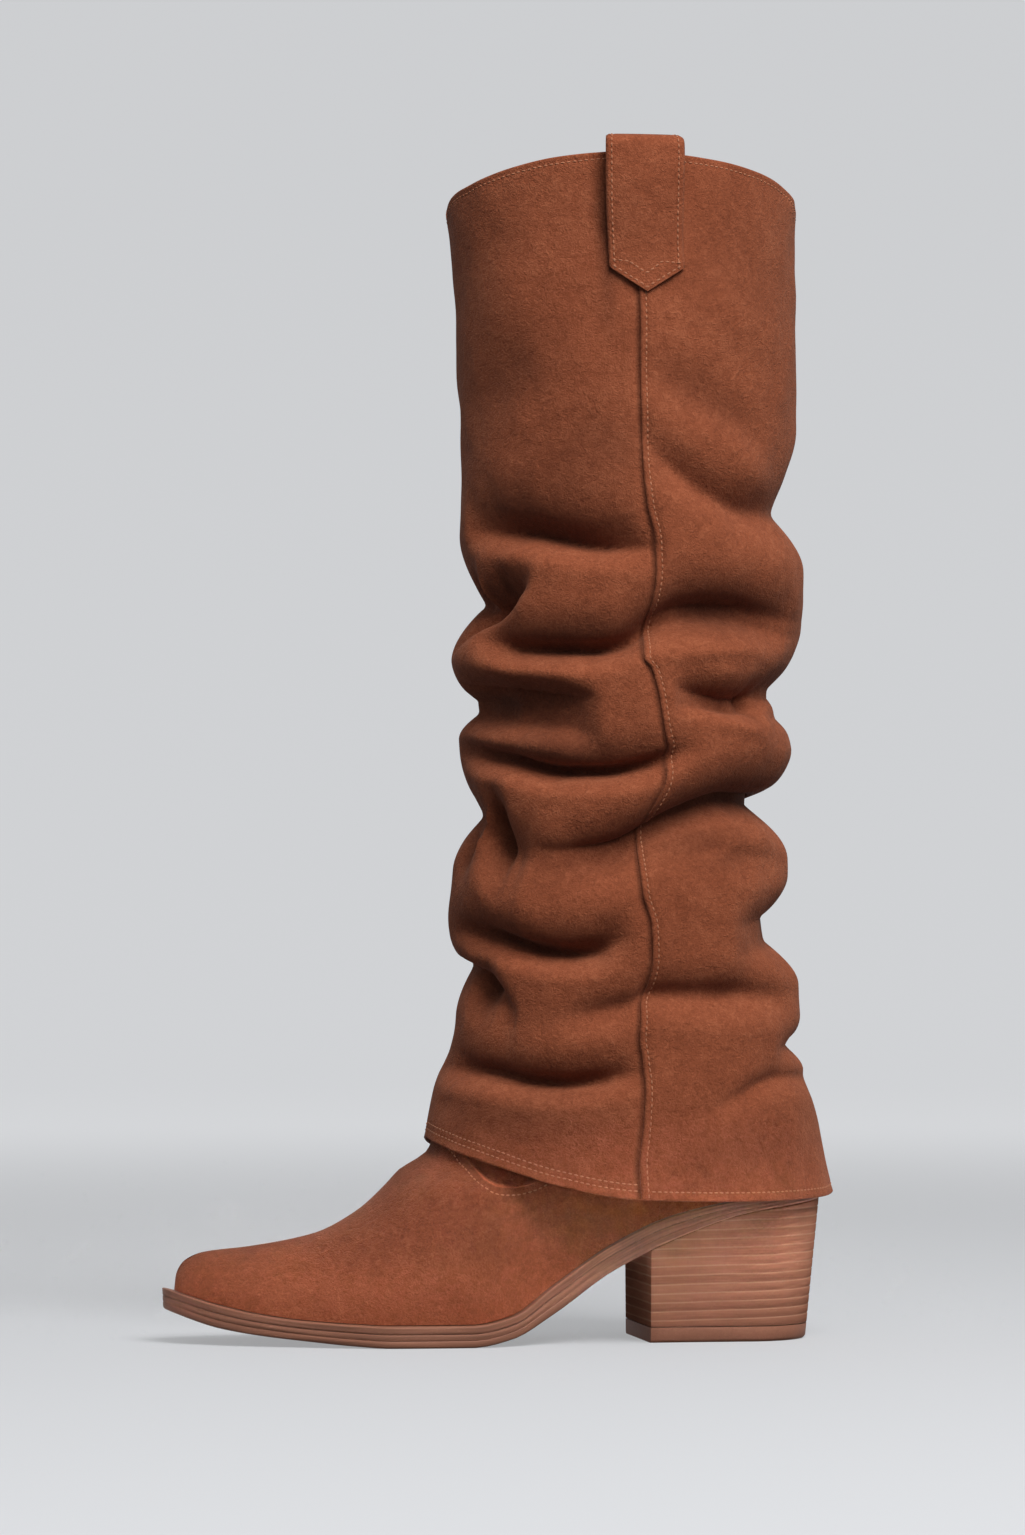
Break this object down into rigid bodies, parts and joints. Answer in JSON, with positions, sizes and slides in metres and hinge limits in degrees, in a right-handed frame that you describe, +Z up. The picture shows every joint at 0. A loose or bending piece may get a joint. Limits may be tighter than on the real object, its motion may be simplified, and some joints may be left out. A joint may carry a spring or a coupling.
{
  "type": "tall boot",
  "caption": "Tall slouch boot for the left foot, brown suede, with a gathered shaft hanging over a low upper, pull loops at the collar, a layered sole and a stacked block heel.",
  "frame": {"origin": "on the floor, on the tread of the heel, near its middle", "axes": "+Z up, the toe points to -X, the outer side of the foot faces -Y"},
  "size_m": [0.2698, 0.121, 0.4759],
  "materials": {
    "suede": "napped brown suede, matte",
    "sole_edge": "burnished sole edge, satin",
    "stacked_heel": "stacked layers, waxed, satin",
    "heel_lift": "brown rubber, matte",
    "insole": "smooth tan lining leather"
  },
  "bodies": {
    "root": {"outsole": "sole_edge", "welt": "sole_edge", "insole": "insole", "heel_stack": "stacked_heel", "heel_lift": "heel_lift", "upper": "suede", "shaft": "suede", "pull_strap_outer": "suede", "pull_strap_inner": "suede"}
  },
  "joints": []
}
